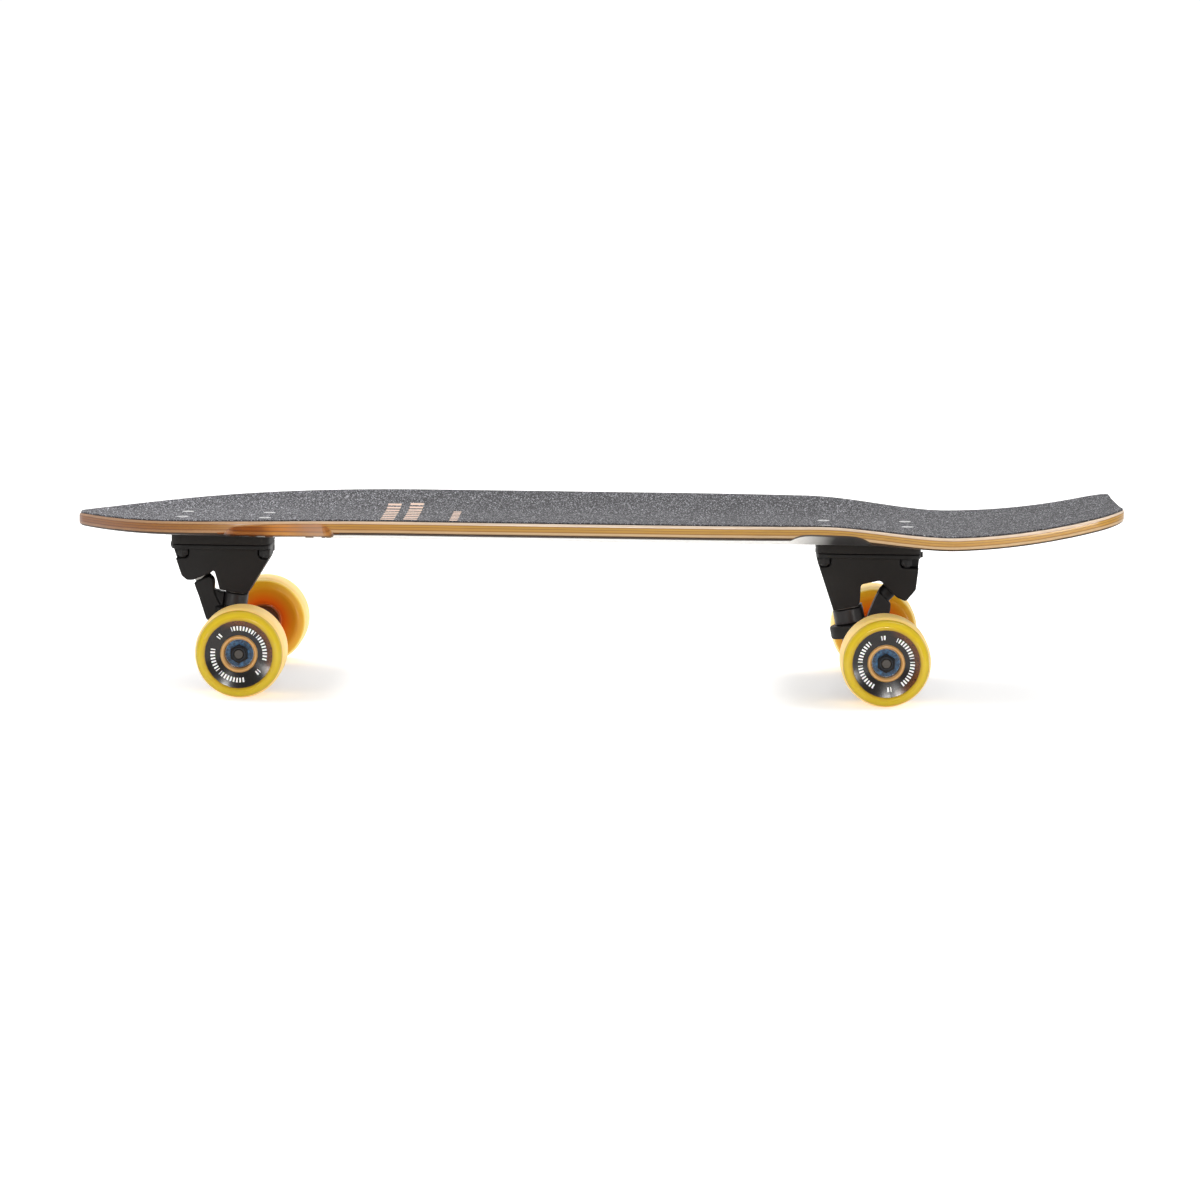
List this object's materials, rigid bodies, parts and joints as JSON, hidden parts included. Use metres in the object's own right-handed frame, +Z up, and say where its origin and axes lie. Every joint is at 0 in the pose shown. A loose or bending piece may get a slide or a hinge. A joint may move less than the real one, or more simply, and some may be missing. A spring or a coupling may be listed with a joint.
{
  "type": "surfskate",
  "caption": "Surfskate: concave wooden deck with a kicked tail and grip tape on steering trucks with ball-bearing urethane wheels.",
  "frame": {"origin": "on the floor, under the middle of the deck's length and width", "axes": "+X along the board towards the tail, +Y towards the rider's right when facing the nose, +Z up out of the deck"},
  "size_m": [0.8034, 0.259, 0.1483],
  "materials": {
    "maple": "clear varnish over maple plies, their edges visible on the rails",
    "grip": "dark grey-blue abrasive sheet with light speckle",
    "riser_rubber": "matt black rubber",
    "black_alloy": "satin black coat on cast aluminium",
    "steel": "zinc-plated steel",
    "dark_steel": "dark oxide steel",
    "black_urethane": "satin black urethane",
    "white_urethane": "natural white urethane",
    "yellow_urethane": "translucent warm yellow urethane",
    "bearing": "steel rings with blue shields"
  },
  "bodies": {
    "board": {"deck": "maple", "grip_tape": "grip", "front_riser": "riser_rubber", "front_baseplate": "black_alloy", "front_bolt_1": "steel", "front_bolt_2": "steel", "front_bolt_3": "steel", "front_bolt_4": "steel", "front_bolt_nut_1": "steel", "front_bolt_nut_2": "steel", "front_bolt_nut_3": "steel", "front_bolt_nut_4": "steel", "front_kingpin": "steel", "front_kingpin_nut": "steel", "front_upper_bushing": "black_urethane", "front_lower_bushing": "black_urethane", "front_upper_bushing_washer": "steel", "front_lower_bushing_washer": "steel", "front_pivot_cup": "white_urethane", "rear_riser": "riser_rubber", "rear_baseplate": "black_alloy", "rear_bolt_1": "steel", "rear_bolt_2": "steel", "rear_bolt_3": "steel", "rear_bolt_4": "steel", "rear_bolt_nut_1": "steel", "rear_bolt_nut_2": "steel", "rear_bolt_nut_3": "steel", "rear_bolt_nut_4": "steel", "rear_kingpin": "steel", "rear_kingpin_nut": "steel", "rear_upper_bushing": "black_urethane", "rear_lower_bushing": "black_urethane", "rear_upper_bushing_washer": "steel", "rear_lower_bushing_washer": "steel", "rear_pivot_cup": "white_urethane"},
    "front_steering": {"front_hanger": "black_alloy", "front_axle": "steel", "front_left_axle_nut": "dark_steel", "front_right_axle_nut": "dark_steel", "front_left_spacer": "steel", "front_right_spacer": "steel"},
    "rear_steering": {"rear_hanger": "black_alloy", "rear_axle": "steel", "rear_left_axle_nut": "dark_steel", "rear_right_axle_nut": "dark_steel", "rear_left_spacer": "steel", "rear_right_spacer": "steel"},
    "front_left_roller": {"front_left_wheel": "yellow_urethane", "front_left_inner_bearing": "bearing", "front_left_outer_bearing": "bearing"},
    "front_right_roller": {"front_right_wheel": "yellow_urethane", "front_right_inner_bearing": "bearing", "front_right_outer_bearing": "bearing"},
    "rear_left_roller": {"rear_left_wheel": "yellow_urethane", "rear_left_inner_bearing": "bearing", "rear_left_outer_bearing": "bearing"},
    "rear_right_roller": {"rear_right_wheel": "yellow_urethane", "rear_right_inner_bearing": "bearing", "rear_right_outer_bearing": "bearing"}
  },
  "joints": [
    {"name": "front_steer", "type": "hinge", "parent": "board", "child": "front_steering", "pos_m": [-0.2818, 0, 0.05], "axis": [-0.6428, 0, 0.766], "range_deg": [-22, 22], "stiffness_Nm_per_rad": 60, "deforming": ["front_upper_bushing", "front_lower_bushing"]},
    {"name": "rear_steer", "type": "hinge", "parent": "board", "child": "rear_steering", "pos_m": [0.1984, 0, 0.0447], "axis": [0.6947, 0, 0.7193], "range_deg": [-20, 20], "stiffness_Nm_per_rad": 60, "deforming": ["rear_upper_bushing", "rear_lower_bushing"]},
    {"name": "front_left_spin", "type": "hinge", "parent": "front_steering", "child": "front_left_roller", "pos_m": [-0.266, -0.1036, 0.034], "axis": [0, 1, 0], "continuous": true},
    {"name": "front_right_spin", "type": "hinge", "parent": "front_steering", "child": "front_right_roller", "pos_m": [-0.266, 0.1036, 0.034], "axis": [0, 1, 0], "continuous": true},
    {"name": "rear_left_spin", "type": "hinge", "parent": "rear_steering", "child": "rear_left_roller", "pos_m": [0.22, -0.1036, 0.034], "axis": [0, 1, 0], "continuous": true},
    {"name": "rear_right_spin", "type": "hinge", "parent": "rear_steering", "child": "rear_right_roller", "pos_m": [0.22, 0.1036, 0.034], "axis": [0, 1, 0], "continuous": true}
  ]
}
